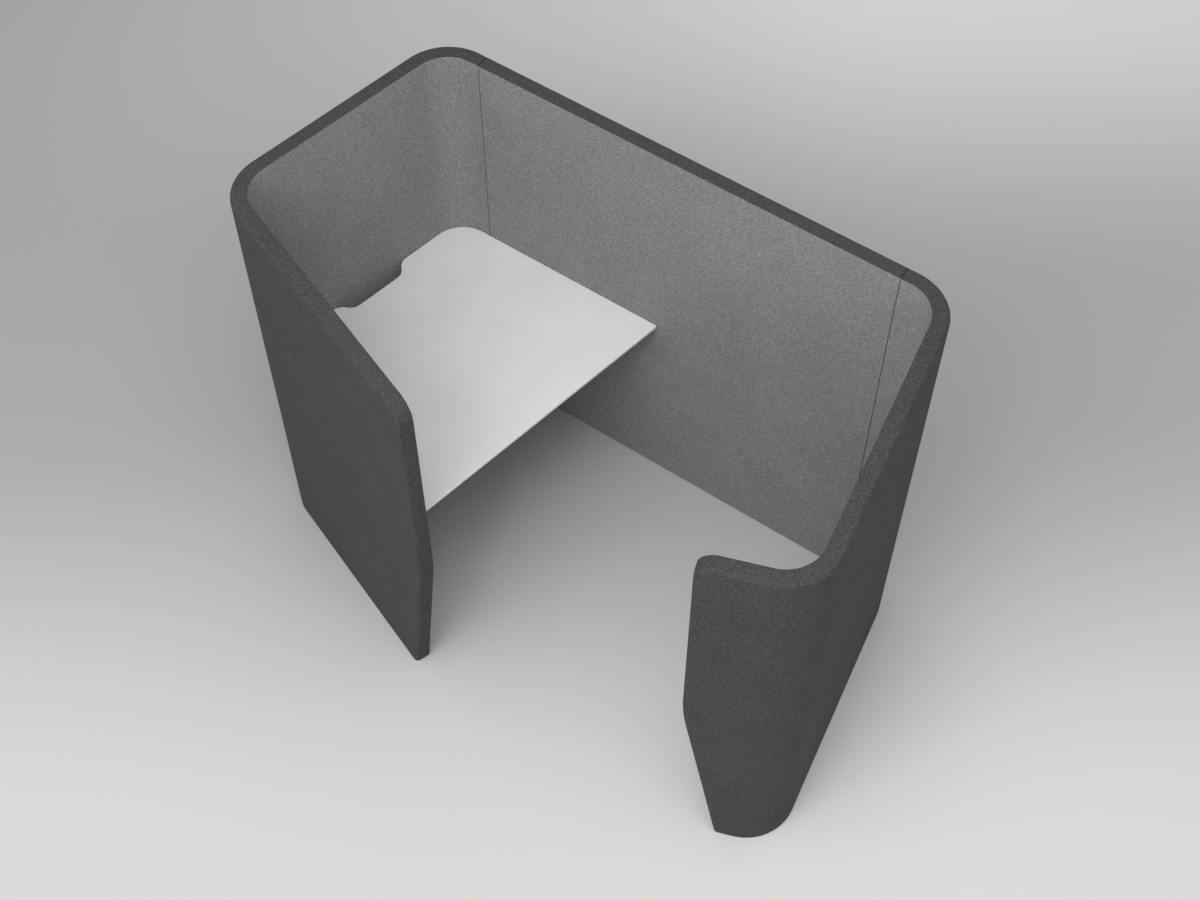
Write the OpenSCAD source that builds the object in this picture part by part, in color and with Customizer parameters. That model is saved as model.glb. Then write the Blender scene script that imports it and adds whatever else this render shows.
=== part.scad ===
// Acoustic office pod: an upholstered wall in three segments that wraps round a fixed desk.
// Walls are drawn from the middle of the back's outer face, X to the right, Y to the rear, Z up.
// The finished pod stands on the floor with its origin under the middle of its outline.

/* [Wall plan] */
// Length of the back between its outer corner points
back_w = 1695; // [1500:5:1900]
// Length of the left end wall between its outer corner points
left_end_w = 837; // [780:1:950]
// Length of the right end wall between its outer corner points
right_end_w = 996; // [800:1:1100]
// Length of the front left wall from its outer corner point to its free end
left_front_w = 940; // [900:1:1000]
// Length of the right return from its outer corner point to its free end
right_front_w = 313; // [305:1:450]
// Angle inside each of the four corners
corner_angle = 100; // [98:0.5:106]
// Outer radius of the four corners
corner_r = 156; // [130:1:165]
// Straight end of each side segment, between its back corner and its seam
stub_w = 30; // [29:1:60]
// Open joint between two segments
seam_gap = 0.4; // [0.2:0.1:1]

/* [Wall build-up] */
// Height of the wall above the floor
wall_h = 1450; // [1300:5:1700]
// Thickness of the felt covers
cover_t = 2.2; // [1.5:0.1:3]
// Thickness of the foam on each face
foam_t = 8; // [6:0.5:11]
// Thickness of the plywood skins
skin_t = 4; // [3:0.5:6]
// Thickness of the rails and studs of the frame
core_t = 18; // [18:0.5:24]
// Glue line between two layers
glue_t = 0.2; // [0.1:0.05:0.3]
// Radius of the padded outer edge, over the top and down the free ends
edge_r = 12; // [8:0.5:16]
// Gap between the wall and the floor, with the feet screwed home
floor_gap = 5; // [4:0.5:10]

/* [Free ends] */
// Radius of the top corner of a free end, in the plane of its wall
end_top_r = 55; // [50:1:90]
// Height of the kink in the free ends
kink_h = 703; // [600:1:720]
// Lean of the free ends below the kink
kink_lean = 10; // [4:0.5:10.5]
// Radius that softens the kink
kink_r = 800; // [300:10:1000]

/* [Frame] */
// Height of the top, middle and bottom rails
rail_h = 36; // [34:1:44]
// Width of the posts in the free ends
post_w = 30; // [24:1:34]
// Width of the studs
stud_w = 28; // [22:1:28]
// Usual distance between studs
stud_pitch = 350; // [250:10:500]

/* [Desk] */
// Height of the desk's upper face
desk_h = 730; // [680:5:780]
// Thickness of the desk's board
desk_t = 12; // [10:1:20]
// Depth of the desk, from the left end wall to its front edge
desk_w = 745; // [650:5:800]
// Gap between the desk's edge and the felt
desk_gap = 0.8; // [0.5:0.1:3]
// Radius of the desk's two free corners
desk_corner_r = 4; // [2:0.5:10]
// Depth of the cable notch in the desk's left edge
notch_d = 42; // [30:1:60]
// Length of the cable notch, between the middles of its curved ends
notch_w = 224; // [160:2:240]
// Radius of the curves at the notch's ends
notch_r = 42; // [32:1:60]
// Leg of the steel angles under the desk
angle_leg = 40; // [36:1:50]
// Thickness of the steel angles
angle_t = 3; // [2:0.5:4]
// Length of the two short angles beside the notch
bracket_w = 90; // [60:1:100]
// Distance from the desk's front edge back to the angles' ends
angle_inset = 70; // [50:1:120]
// Distance from the desk's front edge back to the beam
beam_inset = 60; // [40:1:120]

/* [Feet] */
// Radius of a foot's pad
foot_r = 12.5; // [10:0.5:13]
// Radius of a foot's threaded stem
stem_r = 4; // [3:0.5:4.5]
// Length of a foot's threaded stem
stem_l = 28; // [24:1:32]
// Length of the threaded insert that a foot turns in
foot_insert_l = 18; // [14:1:20]

/* [Hidden] */
$fn = 120;

overrun = 5;
thread_gap = 0.05;
fit_gap = 0.1;
drill_gap = 0.5;

// Straight steps that make up each curve of an outline
corner_steps = 12;
end_steps = 8;
kink_steps = 4;
edge_steps = 6;
notch_steps = 10;
tip_steps = 4;

// Depth of each layer's near face under the pod's outer face
foam_y = cover_t + glue_t;
skin_y = foam_y + foam_t + glue_t;
core_y = skin_y + skin_t + glue_t;
wall_t = 2 * core_y + core_t;
inner_skin_y = wall_t - skin_y - skin_t;
inner_foam_y = wall_t - foam_y - foam_t;
inner_cover_y = wall_t - cover_t;
core_mid = wall_t / 2;

// Heights inside the frame
frame_top = wall_h - skin_y;
mid_rail_z = desk_h - desk_t - angle_leg / 2 - rail_h / 2;
lower_z = floor_gap + rail_h + glue_t;
lower_h = mid_rail_z - glue_t - lower_z;
upper_z = mid_rail_z + rail_h + glue_t;
upper_h = frame_top - rail_h - glue_t - upper_z;
post_inset = skin_y + post_w;

// Radius of the foam's inner corner, round the frame's edge
foam_corner_r = 0.5;

// Corners, and the seams between the segments
turn = 180 - corner_angle;
tangent = corner_r * tan(turn / 2);
seam_x = back_w / 2 - tangent - stub_w;

// Seam fasteners, at shares of the height of the studs they pass through
bolt_r = 4;
bolt_head_r = 6.5;
bolt_head_h = 8;
bolt_tail = 2;
nut_h = 6.5;
nut_across = 13;
washer_r = 8;
washer_t = 1.6;
pocket_gap = 1;
dowel_r = 5;
dowel_l = 40;
seam_bolt_shares = [0.2, 0.8];
seam_dowel_share = 0.5;

// Fasteners of the steel angles
angle_bolt_r = 3;
angle_bolt_head_r = 5.5;
angle_bolt_head_h = 3.3;
angle_bolt_margin = 1;
angle_insert_r = 4.5;
angle_insert_l = 12;
angle_bolt_inset = 18;
seat_gap = 0.2;
screw_r = 2.4;
screw_head_r = 4.75;
screw_head_h = 2.8;
screw_depth_share = 0.7;
screw_tip_gap = 0.5;
angle_end_gap = 20;
bracket_gap = 12;
long_angle_bolts = 4;
bracket_bolts = 2;

// Feet and their threaded inserts
foot_chamfer = 1.2;
foot_flange_t = 1.5;
foot_h = floor_gap - foot_flange_t;
foot_insert_r = 5.5;
foot_flange_r = core_t / 2;
foot_end_gap = 60;

felt_dark = "#4a4a4c";
felt_light = "#7c7c7e";
foam_tone = "#d9d4c2";
ply_tone = "#c9a877";
wool_tone = "#a9a58c";
steel_tone = "#8d9196";
laminate_tone = "#cfd0d2";
nylon_tone = "#202022";

function dir(a) = [cos(a), sin(a)];
function spread(a, b, n) = [for (i = [0 : n - 1]) a + (b - a) * i / (n - 1)];
function backwards(list) = [for (i = [len(list) - 1 : -1 : 0]) list[i]];
function arc(centre, r, a, b, steps) = [for (i = [0 : steps]) centre + r * dir(a + (b - a) * i / steps)];
function end_w(side) = side == "left" ? left_end_w : right_end_w;
function front_w(side) = side == "left" ? left_front_w : right_front_w;

// Corner point where a side's front wall starts, and a point of that wall, drawn for the left side
function front_start(side) = [-back_w / 2, 0] + end_w(side) * dir(180 + turn);
function front_point(side, x, y) =
    front_start(side) + x * dir(180 + 2 * turn) + y * dir(270 + 2 * turn);
function front_centre(side) = front_point(side, tangent, corner_r);
back_centre = [tangent - back_w / 2, -corner_r];

// How far a side reaches from the back's middle, to the side and to the front
function side_reach(side) = corner_r - front_centre(side).x;
function front_reach(side) = edge_r - front_point(side, front_w(side) - edge_r, edge_r).y;
middle_x = (side_reach("right") - side_reach("left")) / 2;
middle_y = -max(front_reach("left"), front_reach("right")) / 2;

// Line along a side segment at a depth, from its seam to a place on its front wall
function side_line(side, y, x_end) = concat(
    [[-seam_x - seam_gap / 2, -y]],
    arc(back_centre, corner_r - y, 90, 90 + turn, corner_steps),
    arc(front_centre(side), corner_r - y, 90 + turn, 90 + 2 * turn, corner_steps),
    [front_point(side, x_end, y)]
);

// Centres of a free end's top corner and of its softened kink, along the wall and up
function top_centre(w) = [w - end_top_r, wall_h - end_top_r];
function kink_centre(w) = [w - kink_r, kink_h + kink_r * tan(kink_lean / 2)];
function kink_end(w, inset) = kink_centre(w) + (kink_r - inset) * [cos(kink_lean), -sin(kink_lean)];

// Place along the wall of a free end's leaning line, set in, at a height
function lean_x(w, inset, z) =
    kink_end(w, inset).x - (kink_end(w, inset).y - z) * tan(kink_lean);

// Outline of a free end in the plane of its wall, set in, from the top down to a height
function end_line(w, inset, z) = concat(
    arc(top_centre(w), end_top_r - inset, 90, 0, end_steps),
    arc(kink_centre(w), kink_r - inset, 0, -kink_lean, kink_steps),
    [[lean_x(w, inset, z), z]]
);

// A padded edge in section, from its inner side round to the outer face: X is the depth from the
// edge and Y the depth from the outer face
function edge_section(inset, r, width) =
    concat([[inset, width]], arc([inset + r, inset + r], r, 180, 270, edge_steps));
cover_near = edge_section(0, edge_r, wall_t);
cover_far = edge_section(cover_t, edge_r - cover_t, wall_t);
foam_near = edge_section(foam_y, edge_r - foam_y, inner_cover_y - glue_t);
foam_far = edge_section(foam_y + foam_t, foam_corner_r, inner_cover_y - glue_t);

// Studs: one at each end of a straight wall and the rest evenly between
function stud_count(a, b) = max(0, round((b - a) / stud_pitch));
function wall_studs(a, b) = let (n = max(1, stud_count(a, b))) spread(a, b, n + 1);
function end_studs(side) = wall_studs(tangent + stud_w / 2, end_w(side) - tangent - stud_w / 2);
function front_studs(side) =
    let (a = tangent + stud_w / 2)
    let (b = lean_x(front_w(side), post_inset, floor_gap))
    let (n = stud_count(a, b))
    [for (i = [0 : 1 : n - 1]) a + (b - a) * i / n];
back_stud_x = seam_x - seam_gap / 2 - stud_w / 2;
side_stud_x = seam_x + seam_gap / 2 + stud_w / 2;
back_studs_x = wall_studs(-back_stud_x, back_stud_x);

// Desk outline seen from the left end wall: X along that wall from the back, Y away from it
desk_edge = wall_t + desk_gap;
desk_front = wall_t + desk_w;
function back_line(q, y) = (q - y * cos(turn)) / sin(turn);
function front_line(q, y) = left_end_w + (y * cos(turn) - q) / sin(turn);
notch_mid = left_end_w / 2;
notch_sweep = acos(1 - notch_d / notch_r / 2);
notch_run = notch_r * sin(notch_sweep);

// Ends of the angles along their walls
desk_on_back = back_w / 2 + (desk_edge * cos(turn) - desk_front) / sin(turn);
desk_on_front = (desk_front - desk_edge * cos(turn)) / sin(turn);
back_angle_x = [desk_on_back + angle_inset, seam_x - angle_end_gap];
front_angle_x = [tangent + angle_end_gap, desk_on_front - angle_inset];
bracket_reach = notch_w / 2 + notch_run + bracket_gap;
back_bracket_x = [notch_mid - bracket_reach - bracket_w, notch_mid - bracket_reach];
front_bracket_x = [notch_mid + bracket_reach, notch_mid + bracket_reach + bracket_w];
angle_y = wall_t + seat_gap;
angle_top = desk_h - desk_t;
angle_bolt_z = angle_top - angle_leg / 2;
screw_y = angle_y + (angle_t + angle_leg) / 2;

// The beam under the desk's front edge, seen as the desk is
beam_y = desk_front - beam_inset - angle_leg;
beam_q = angle_y + angle_leg + seat_gap;
beam_x = [back_line(beam_q, beam_y), front_line(beam_q, beam_y)];

module placed() {
    translate([-middle_x, -middle_y, 0]) children();
}

module on_side(side) {
    if (side == "right") mirror([1, 0, 0]) children();
    else children();
}

// Frames of the walls: X along the wall towards the free end, Y inward from its outer face
module back_frame(side) {
    on_side(side) rotate([0, 0, 180]) children();
}

module end_frame(side) {
    on_side(side) translate([-back_w / 2, 0, 0]) rotate([0, 0, 180 + turn]) children();
}

module front_frame(side) {
    on_side(side) translate(front_start(side)) rotate([0, 0, 180 + 2 * turn]) children();
}

// A slab along the whole of a side segment, between two heights, ended by its free end set in
module side_strip(side, y, t, x_end, z0, z1) {
    on_side(side) translate([0, 0, z0]) linear_extrude(z1 - z0)
        polygon(concat(side_line(side, y, x_end), backwards(side_line(side, y + t, x_end))));
}

module side_slab(side, y, t, inset, z0, z1) {
    difference() {
        side_strip(side, y, t, front_w(side), z0, z1);
        past_free_end(side, inset);
    }
}

// Draws a shape of a wall's face as a slab between two depths
module across(y0, y1) {
    translate([0, y1, 0]) rotate([90, 0, 0]) linear_extrude(y1 - y0) children();
}

// Everything beyond a free end that is set in
module past_free_end(side, inset) {
    w = front_w(side);
    front_frame(side) across(-overrun, wall_t + overrun) polygon(concat(
        end_line(w, inset, -overrun),
        [[w + overrun, -overrun], [w + overrun, wall_h + overrun], [top_centre(w).x, wall_h + overrun]]
    ));
}

// A section carried along the back segment: X is the depth and Y the height
module back_sweep() {
    half = seam_x - seam_gap / 2;
    rotate([90, 0, -90]) translate([0, 0, -half]) linear_extrude(2 * half) children();
}

// Points of a padded layer's one face: rows over its edge, along the top and down the free end,
// then the foot of its outer face along the corners
function edge_rows(side, section, z) =
    let (w = front_w(side))
    let (x_end = top_centre(w).x)
    concat(
        [for (i = [0 : 2 * corner_steps + 3]) [for (p = section)
            let (q = side_line(side, p.y, x_end)[i]) [q.x, q.y, wall_h - p.x]]],
        [for (i = [1 : end_steps + kink_steps + 2]) [for (p = section)
            let (q = end_line(w, p.x, z)[i])
            let (f = front_point(side, q.x, p.y)) [f.x, f.y, q.y]]]
    );
function foot_row(side, y, z) =
    let (line = side_line(side, y, 0))
    [for (i = [0 : 2 * corner_steps + 2]) [line[i].x, line[i].y, z]];
function face_points(side, section, z) = concat(
    [for (row = edge_rows(side, section, z)) each row],
    foot_row(side, section[len(section) - 1].y, z)
);

// A padded layer of a side between two such faces, closed along its rim
module padded_layer(side, near, far, z) {
    k = len(near);
    feet = 2 * corner_steps + 3;
    rows = feet + 1 + end_steps + kink_steps + 2;
    count = rows * k + feet;
    face = concat(
        [for (j = [0 : rows - 2]) for (i = [0 : k - 2])
            [j * k + i, (j + 1) * k + i, (j + 1) * k + i + 1, j * k + i + 1]],
        [for (j = [0 : feet - 2])
            [j * k + k - 1, (j + 1) * k + k - 1, rows * k + j + 1, rows * k + j]],
        [concat([for (j = [feet - 1 : rows - 1]) j * k + k - 1], [rows * k + feet - 1])]
    );
    rim = concat(
        [for (j = [0 : rows - 1]) j * k],
        [for (i = [1 : k - 1]) (rows - 1) * k + i],
        [for (j = [feet - 1 : -1 : 0]) rows * k + j],
        [for (i = [k - 1 : -1 : 1]) i]
    );
    on_side(side) polyhedron(
        concat(face_points(side, near, z), face_points(side, far, z)),
        concat(
            [for (f = face) backwards(f)],
            [for (f = face) [for (v = f) v + count]],
            [for (i = [0 : len(rim) - 1]) let (a = rim[i]) let (b = rim[(i + 1) % len(rim)])
                [a, b, b + count, a + count]]
        ),
        convexity = 10
    );
}

// The same layer of the back segment
module back_padded_layer(near, far, z) {
    back_sweep() polygon(concat(
        [for (p = near) [p.y, wall_h - p.x]],
        [[near[len(near) - 1].y, z], [far[len(far) - 1].y, z]],
        backwards([for (p = far) [p.y, wall_h - p.x]])
    ));
}

module slab_section(y, t, z0, z1) {
    translate([y, z0]) square([t, z1 - z0]);
}

module outer_cover(side) {
    color(felt_dark) padded_layer(side, cover_near, cover_far, floor_gap);
}

module outer_foam(side) {
    color(foam_tone) padded_layer(side, foam_near, foam_far, floor_gap);
}

module outer_skin(side) {
    color(ply_tone) side_slab(side, skin_y, skin_t, skin_y, floor_gap, frame_top);
}

// Bolt places of the desk's angles, the bolt's axis pointing into the pod
module at_angle_bolts(xs) {
    for (x = xs) translate([x, 0, angle_bolt_z]) rotate([-90, 0, 0]) children();
}

function angle_bolt_xs(ends, n) = spread(ends[0] + angle_bolt_inset, ends[1] - angle_bolt_inset, n);

module at_left_bolts() {
    end_frame("left") at_angle_bolts(angle_bolt_xs(back_bracket_x, bracket_bolts)) children();
    end_frame("left") at_angle_bolts(angle_bolt_xs(front_bracket_x, bracket_bolts)) children();
    front_frame("left") at_angle_bolts(angle_bolt_xs(front_angle_x, long_angle_bolts)) children();
}

module at_back_bolts() {
    back_frame("left") at_angle_bolts(angle_bolt_xs(back_angle_x, long_angle_bolts)) children();
}

module at_segment_bolts(segment) {
    if (segment == "left") at_left_bolts() children();
    if (segment == "back") at_back_bolts() children();
}

// Holes for those bolts in the layers over the frame, and for their inserts in the middle rail
module angle_bolt_holes(segment) {
    at_segment_bolts(segment) translate([0, 0, core_y + core_t])
        cylinder(wall_t - core_y - core_t + overrun, r = angle_bolt_r + drill_gap);
}

module angle_insert_holes(segment) {
    at_segment_bolts(segment) translate([0, 0, core_y + core_t - angle_insert_l])
        cylinder(angle_insert_l + overrun, r = angle_insert_r + fit_gap);
}

module inner_layer(side, y, t, inset) {
    difference() {
        side_slab(side, y, t, inset, floor_gap, wall_h - inset);
        angle_bolt_holes(side);
    }
}

module inner_skin(side) {
    color(ply_tone) inner_layer(side, inner_skin_y, skin_t, skin_y);
}

module inner_foam(side) {
    color(foam_tone) inner_layer(side, inner_foam_y, foam_t, skin_y);
}

module inner_cover(side) {
    color(felt_light) inner_layer(side, inner_cover_y, cover_t, foam_y);
}

// Frame of a side segment
module top_rail(side) {
    color(ply_tone)
        side_strip(side, core_y, core_t, top_centre(front_w(side)).x, frame_top - rail_h, frame_top);
}

module mid_rail(side) {
    color(ply_tone) difference() {
        side_slab(side, core_y, core_t, post_inset + glue_t, mid_rail_z, mid_rail_z + rail_h);
        angle_insert_holes(side);
    }
}

module bottom_rail(side) {
    color(ply_tone) difference() {
        side_slab(side, core_y, core_t, post_inset + glue_t, floor_gap, floor_gap + rail_h);
        at_side_feet(side) foot_hole();
    }
}

module end_post(side) {
    w = front_w(side);
    color(ply_tone) front_frame(side) across(core_y, core_y + core_t) polygon(concat(
        end_line(w, skin_y, floor_gap), backwards(end_line(w, post_inset, floor_gap))
    ));
}

module stud_pair(x, gap = 0) {
    translate([x - stud_w / 2 - gap, core_y - gap, lower_z - gap])
        cube([stud_w + 2 * gap, core_t + 2 * gap, lower_h + 2 * gap]);
    translate([x - stud_w / 2 - gap, core_y - gap, upper_z - gap])
        cube([stud_w + 2 * gap, core_t + 2 * gap, upper_h + 2 * gap]);
}

module side_studs(side, gap = 0) {
    back_frame(side) stud_pair(side_stud_x, gap);
    end_frame(side) for (x = end_studs(side)) stud_pair(x, gap);
    front_frame(side) for (x = front_studs(side)) stud_pair(x, gap);
}

module studs(side) {
    color(ply_tone) difference() {
        side_studs(side);
        seam_holes(side);
    }
}

module infill(side) {
    inset = post_inset + glue_t;
    color(wool_tone) difference() {
        union() {
            side_slab(side, core_y, core_t, inset, lower_z, lower_z + lower_h);
            side_slab(side, core_y, core_t, inset, upper_z, upper_z + upper_h);
        }
        side_studs(side, glue_t);
        at_seam_bolts(side) translate([0, 0, stud_w]) seam_pocket(nut_pocket);
    }
}

// Back segment
module back_outer_cover() {
    color(felt_dark) back_padded_layer(cover_near, cover_far, floor_gap);
}

module back_outer_foam() {
    color(foam_tone) back_padded_layer(foam_near, foam_far, floor_gap);
}

module back_outer_skin() {
    color(ply_tone) back_sweep() slab_section(skin_y, skin_t, floor_gap, frame_top);
}

module back_inner_layer(y, t, z1) {
    difference() {
        back_sweep() slab_section(y, t, floor_gap, z1);
        angle_bolt_holes("back");
    }
}

module back_inner_skin() {
    color(ply_tone) back_inner_layer(inner_skin_y, skin_t, frame_top);
}

module back_inner_foam() {
    color(foam_tone) back_inner_layer(inner_foam_y, foam_t, frame_top);
}

module back_inner_cover() {
    color(felt_light) back_inner_layer(inner_cover_y, cover_t, wall_h - foam_y);
}

module back_top_rail() {
    color(ply_tone) back_sweep() slab_section(core_y, core_t, frame_top - rail_h, frame_top);
}

module back_mid_rail() {
    color(ply_tone) difference() {
        back_sweep() slab_section(core_y, core_t, mid_rail_z, mid_rail_z + rail_h);
        angle_insert_holes("back");
    }
}

module back_bottom_rail() {
    color(ply_tone) difference() {
        back_sweep() slab_section(core_y, core_t, floor_gap, floor_gap + rail_h);
        back_frame("left") foot_hole();
    }
}

module back_studs() {
    color(ply_tone) difference() {
        back_frame("left") for (x = back_studs_x) stud_pair(x);
        seam_holes("left");
        seam_holes("right");
    }
}

module back_infill() {
    color(wool_tone) difference() {
        back_sweep() {
            slab_section(core_y, core_t, lower_z, lower_z + lower_h);
            slab_section(core_y, core_t, upper_z, upper_z + upper_h);
        }
        back_frame("left") for (x = back_studs_x) stud_pair(x, glue_t);
        for (side = ["left", "right"])
            at_seam_bolts(side) translate([0, 0, -stud_w - head_pocket]) seam_pocket(head_pocket);
    }
}

// Seam fasteners, their axes running across the seam towards the side segment
function stud_height(share) = [lower_z + share * lower_h, upper_z + share * upper_h];
seam_bolt_z = [for (share = seam_bolt_shares) each stud_height(share)];
seam_dowel_z = stud_height(seam_dowel_share);
seam_face = seam_gap / 2 + stud_w;
nut_pocket = seam_gap / 2 + washer_t + nut_h + bolt_tail + pocket_gap;
head_pocket = seam_gap / 2 + washer_t + bolt_head_h + pocket_gap;

module at_seam_bolts(side) {
    back_frame(side) for (z = seam_bolt_z) translate([seam_x, core_mid, z]) rotate([0, 90, 0]) children();
}

module at_seam_dowels(side) {
    back_frame(side) for (z = seam_dowel_z) translate([seam_x, core_mid, z]) rotate([0, 90, 0]) children();
}

module seam_holes(side) {
    reach = stud_w + overrun;
    at_seam_bolts(side) translate([0, 0, -reach]) cylinder(2 * reach, r = bolt_r + drill_gap);
    at_seam_dowels(side) translate([0, 0, -reach]) cylinder(2 * reach, r = dowel_r + fit_gap);
}

// Room in the infill beside a seam stud for a bolt's head or nut
module seam_pocket(depth) {
    half = washer_r + pocket_gap;
    translate([-half, -core_t, 0]) cube([2 * half, 2 * core_t, depth]);
}

module seam_bolts() {
    shank = 2 * (seam_face + washer_t) + nut_h + bolt_tail;
    color(steel_tone) for (side = ["left", "right"])
        at_seam_bolts(side) translate([0, 0, -seam_face - washer_t]) {
            cylinder(shank, r = bolt_r);
            translate([0, 0, -bolt_head_h]) cylinder(bolt_head_h, r = bolt_head_r);
        }
}

module seam_nuts() {
    color(steel_tone) for (side = ["left", "right"])
        at_seam_bolts(side) translate([0, 0, seam_face + washer_t]) difference() {
            cylinder(nut_h, r = nut_across / 2 / cos(30), $fn = 6);
            translate([0, 0, -overrun]) cylinder(nut_h + 2 * overrun, r = bolt_r + thread_gap);
        }
}

module seam_washer() {
    difference() {
        cylinder(washer_t, r = washer_r);
        translate([0, 0, -overrun]) cylinder(washer_t + 2 * overrun, r = bolt_r + drill_gap);
    }
}

module seam_washers() {
    color(steel_tone) for (side = ["left", "right"]) at_seam_bolts(side) {
        translate([0, 0, seam_face]) seam_washer();
        translate([0, 0, -seam_face - washer_t]) seam_washer();
    }
}

module seam_dowels() {
    color(ply_tone) for (side = ["left", "right"])
        at_seam_dowels(side) translate([0, 0, -dowel_l / 2]) cylinder(dowel_l, r = dowel_r);
}

// Desk: its edge along the left end wall swings in round the cable notch
function notch_line() =
    let (half = notch_w / 2)
    let (out_y = desk_edge + notch_r)
    let (in_y = desk_edge + notch_d - notch_r)
    concat(
        arc([notch_mid + half + notch_run, out_y], notch_r, -90, -90 - notch_sweep, notch_steps),
        arc([notch_mid + half - notch_run, in_y], notch_r, 90 - notch_sweep, 90, notch_steps),
        arc([notch_mid - half + notch_run, in_y], notch_r, 90, 90 + notch_sweep, notch_steps),
        arc([notch_mid - half - notch_run, out_y], notch_r, notch_sweep - 90, -90, notch_steps)
    );

module desk_outline() {
    r = corner_r - desk_edge;
    tip_y = desk_front - desk_corner_r;
    back_tip = [back_line(desk_edge + desk_corner_r, tip_y), tip_y];
    front_tip = [front_line(desk_edge + desk_corner_r, tip_y), tip_y];
    polygon(concat(
        arc([tangent, corner_r], r, -90, -90 - turn, corner_steps),
        arc(back_tip, desk_corner_r, -90 - turn, -270, tip_steps),
        arc(front_tip, desk_corner_r, 90, turn - 90, tip_steps),
        arc([left_end_w - tangent, corner_r], r, turn - 90, -90, corner_steps),
        notch_line()
    ));
}

module desk_top() {
    hole_h = desk_t * screw_depth_share + screw_tip_gap;
    color(laminate_tone) difference() {
        end_frame("left") translate([0, 0, angle_top]) linear_extrude(desk_t) desk_outline();
        at_desk_screws() translate([0, 0, -overrun]) cylinder(hole_h + overrun, r = screw_r + fit_gap);
    }
}

// A steel angle along a wall, holes and all, from the felt's face and the desk's underside
module steel_angle(ends, n) {
    length = ends[1] - ends[0];
    color(steel_tone) difference() {
        translate([ends[0], angle_y, angle_top]) {
            translate([0, 0, -angle_t]) cube([length, angle_leg, angle_t]);
            translate([0, 0, -angle_leg]) cube([length, angle_t, angle_leg]);
        }
        at_angle_bolts(angle_bolt_xs(ends, n)) translate([0, 0, wall_t - overrun])
            cylinder(angle_t + 2 * overrun, r = angle_bolt_r + drill_gap);
        at_angle_screws(ends, n) translate([0, 0, -angle_t - overrun])
            cylinder(angle_t + 2 * overrun, r = screw_r + drill_gap);
    }
}

module at_angle_screws(ends, n) {
    for (x = angle_bolt_xs(ends, n)) translate([x, screw_y, angle_top]) children();
}

module at_beam_screws() {
    for (x = angle_bolt_xs(beam_x, long_angle_bolts))
        translate([x, beam_y + (angle_leg - angle_t) / 2, angle_top]) children();
}

module at_desk_screws() {
    back_frame("left") at_angle_screws(back_angle_x, long_angle_bolts) children();
    front_frame("left") at_angle_screws(front_angle_x, long_angle_bolts) children();
    end_frame("left") at_angle_screws(back_bracket_x, bracket_bolts) children();
    end_frame("left") at_angle_screws(front_bracket_x, bracket_bolts) children();
    end_frame("left") at_beam_screws() children();
}

module desk_back_angle() {
    back_frame("left") steel_angle(back_angle_x, long_angle_bolts);
}

module desk_front_angle() {
    front_frame("left") steel_angle(front_angle_x, long_angle_bolts);
}

module desk_bracket_back() {
    end_frame("left") steel_angle(back_bracket_x, bracket_bolts);
}

module desk_bracket_front() {
    end_frame("left") steel_angle(front_bracket_x, bracket_bolts);
}

module desk_beam() {
    length = beam_x[1] - beam_x[0];
    color(steel_tone) end_frame("left") difference() {
        translate([beam_x[0], beam_y, angle_top]) {
            translate([0, 0, -angle_t]) cube([length, angle_leg, angle_t]);
            translate([0, angle_leg - angle_t, -angle_leg]) cube([length, angle_t, angle_leg]);
        }
        at_beam_screws() translate([0, 0, -angle_t - overrun])
            cylinder(angle_t + 2 * overrun, r = screw_r + drill_gap);
    }
}

module desk_screws() {
    color(steel_tone) at_desk_screws() {
        translate([0, 0, -angle_t]) cylinder(angle_t + desk_t * screw_depth_share, r = screw_r);
        translate([0, 0, -angle_t - screw_head_h]) cylinder(screw_head_h, r = screw_head_r);
    }
}

module angle_bolt() {
    tip = core_y + core_t - angle_insert_l + angle_bolt_margin;
    translate([0, 0, tip]) cylinder(angle_y + angle_t - tip, r = angle_bolt_r);
    translate([0, 0, angle_y + angle_t]) cylinder(angle_bolt_head_h, r = angle_bolt_head_r);
}

module angle_bolts() {
    color(steel_tone) {
        at_left_bolts() angle_bolt();
        at_back_bolts() angle_bolt();
    }
}

module angle_insert() {
    translate([0, 0, core_y + core_t - angle_insert_l]) difference() {
        cylinder(angle_insert_l, r = angle_insert_r);
        translate([0, 0, -overrun]) cylinder(angle_insert_l + 2 * overrun, r = angle_bolt_r + thread_gap);
    }
}

module angle_inserts() {
    color(steel_tone) {
        at_left_bolts() angle_insert();
        at_back_bolts() angle_insert();
    }
}

// Feet stand on the core's centre line, drawn there at the floor
module at_front_foot(side) {
    front_frame(side) translate([lean_x(front_w(side), post_inset, floor_gap) - foot_end_gap, 0, 0])
        children();
}

module in_corner() {
    translate([tangent, corner_r, 0]) rotate([0, 0, -turn / 2]) translate([0, -corner_r, 0]) children();
}

module at_front_corner(side) {
    front_frame(side) in_corner() children();
}

module at_end_foot(side) {
    end_frame(side) translate([end_w(side) / 2, 0, 0]) children();
}

module at_back_corner(side) {
    end_frame(side) in_corner() children();
}

module at_side_feet(side) {
    if (side == "left") at_front_foot(side) children();
    at_front_corner(side) children();
    at_end_foot(side) children();
    at_back_corner(side) children();
}

module foot_hole() {
    translate([0, core_mid, floor_gap - overrun])
        cylinder(foot_insert_l + overrun, r = foot_insert_r + fit_gap);
    translate([0, core_mid, floor_gap]) cylinder(stem_l, r = stem_r + drill_gap);
}

module foot() {
    color(nylon_tone) translate([0, core_mid, 0]) {
        rotate_extrude() polygon([
            [0, 0], [foot_r - foot_chamfer, 0], [foot_r, foot_chamfer], [foot_r, foot_h], [0, foot_h]
        ]);
        cylinder(foot_h + stem_l, r = stem_r);
    }
}

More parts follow.
